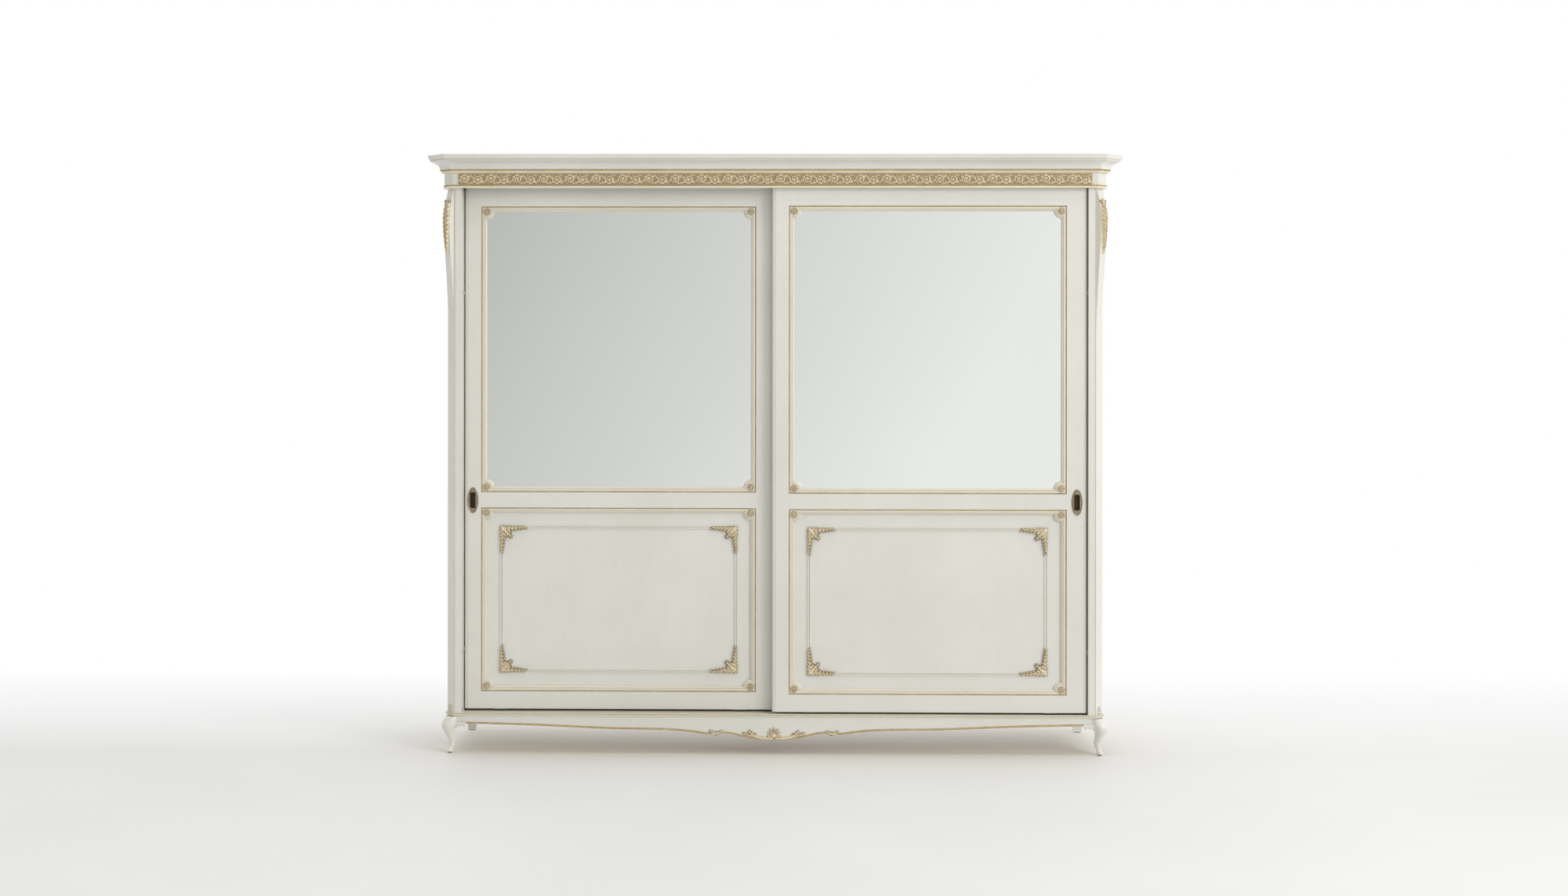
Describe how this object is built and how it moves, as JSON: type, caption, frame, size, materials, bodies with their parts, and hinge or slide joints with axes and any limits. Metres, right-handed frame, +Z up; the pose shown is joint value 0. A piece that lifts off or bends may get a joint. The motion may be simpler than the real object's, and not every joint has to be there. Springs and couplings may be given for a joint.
{
  "type": "armoire",
  "caption": "Wide classic armoire in ivory lacquer with gilt carving: two sliding doors with tall mirrors over moulded panels, short cabriole legs.",
  "frame": {"origin": "on the floor, in the middle of the overall box", "axes": "+Z up, +X to the right as one faces the doors, doors face -Y"},
  "size_m": [2.86, 0.7, 2.464],
  "materials": {
    "ivory_lacquer": "satin ivory lacquer",
    "gilding": "antiqued gold leaf over carved wood",
    "mirror_glass": "polished",
    "backing_board": "matt faced hardboard",
    "interior_board": "matt faced board with fine grain",
    "antique_bronze": "antique bronze",
    "aluminium": "satin anodised",
    "zinc_steel": "zinc plated",
    "nylon": "moulded nylon",
    "rubber": "soft rubber",
    "chrome": "polished chrome"
  },
  "bodies": {
    "carcass": {"apron_gilding": "gilding", "back_panels": "backing_board", "base_moulding": "ivory_lacquer", "base_rails": "ivory_lacquer", "bottom_panel": "interior_board", "bottom_track": "aluminium", "centre_feet": "zinc_steel", "centre_partition": "interior_board", "crown_moulding": "ivory_lacquer", "door_bumpers": "rubber", "foot_glides": "nylon", "frieze_beads": "gilding", "frieze_board": "ivory_lacquer", "frieze_carving": "gilding", "front_apron": "ivory_lacquer", "front_legs": "ivory_lacquer", "hanging_rods": "chrome", "left_corner_post": "ivory_lacquer", "post_carvings": "gilding", "post_foot_leaves": "ivory_lacquer", "rear_legs": "ivory_lacquer", "right_corner_post": "ivory_lacquer", "rod_sockets": "chrome", "shelf_battens": "interior_board", "shelves": "interior_board", "side_panels": "ivory_lacquer", "top_panel": "interior_board", "top_track": "aluminium", "top_track_rail": "interior_board"},
    "left_door": {"left_door_corner_ornaments": "gilding", "left_door_inner_moulding": "ivory_lacquer", "left_door_lower_panel": "ivory_lacquer", "left_door_mirror": "mirror_glass", "left_door_mirror_backing": "backing_board", "left_door_mirror_surround": "ivory_lacquer", "left_door_panel_surround": "ivory_lacquer", "left_door_pull": "antique_bronze", "left_door_rails": "ivory_lacquer", "left_door_roller_carriages": "zinc_steel", "left_door_rosettes": "gilding", "left_door_stiles": "ivory_lacquer", "left_door_top_guides": "nylon"},
    "left_door_left_roller": {"left_door_left_roller": "nylon"},
    "left_door_right_roller": {"left_door_right_roller": "nylon"},
    "right_door": {"right_door_corner_ornaments": "gilding", "right_door_inner_moulding": "ivory_lacquer", "right_door_lower_panel": "ivory_lacquer", "right_door_mirror": "mirror_glass", "right_door_mirror_backing": "backing_board", "right_door_mirror_surround": "ivory_lacquer", "right_door_panel_surround": "ivory_lacquer", "right_door_pull": "antique_bronze", "right_door_rails": "ivory_lacquer", "right_door_roller_carriages": "zinc_steel", "right_door_rosettes": "gilding", "right_door_stiles": "ivory_lacquer", "right_door_top_guides": "nylon"},
    "right_door_left_roller": {"right_door_left_roller": "nylon"},
    "right_door_right_roller": {"right_door_right_roller": "nylon"}
  },
  "joints": [
    {"name": "left_door_slide", "type": "slide", "parent": "carcass", "child": "left_door", "axis": [1, 0, 0], "range_m": [0, 1.277]},
    {"name": "right_door_slide", "type": "slide", "parent": "carcass", "child": "right_door", "axis": [1, 0, 0], "range_m": [-1.277, 0]},
    {"name": "left_door_left_roller_spin", "type": "hinge", "parent": "left_door", "child": "left_door_left_roller", "pos_m": [-1.1355, -0.192, 0.1763], "axis": [0, 1, 0], "continuous": true},
    {"name": "left_door_right_roller_spin", "type": "hinge", "parent": "left_door", "child": "left_door_right_roller", "pos_m": [-0.1415, -0.192, 0.1763], "axis": [0, 1, 0], "continuous": true},
    {"name": "right_door_left_roller_spin", "type": "hinge", "parent": "right_door", "child": "right_door_left_roller", "pos_m": [0.1415, -0.242, 0.1763], "axis": [0, 1, 0], "continuous": true},
    {"name": "right_door_right_roller_spin", "type": "hinge", "parent": "right_door", "child": "right_door_right_roller", "pos_m": [1.1355, -0.242, 0.1763], "axis": [0, 1, 0], "continuous": true}
  ],
  "couplings": [
    {"joint": "left_door_left_roller_spin", "follows": "left_door_slide", "rad_per_m": 62.5},
    {"joint": "left_door_right_roller_spin", "follows": "left_door_slide", "rad_per_m": 62.5},
    {"joint": "right_door_left_roller_spin", "follows": "right_door_slide", "rad_per_m": 62.5},
    {"joint": "right_door_right_roller_spin", "follows": "right_door_slide", "rad_per_m": 62.5}
  ]
}
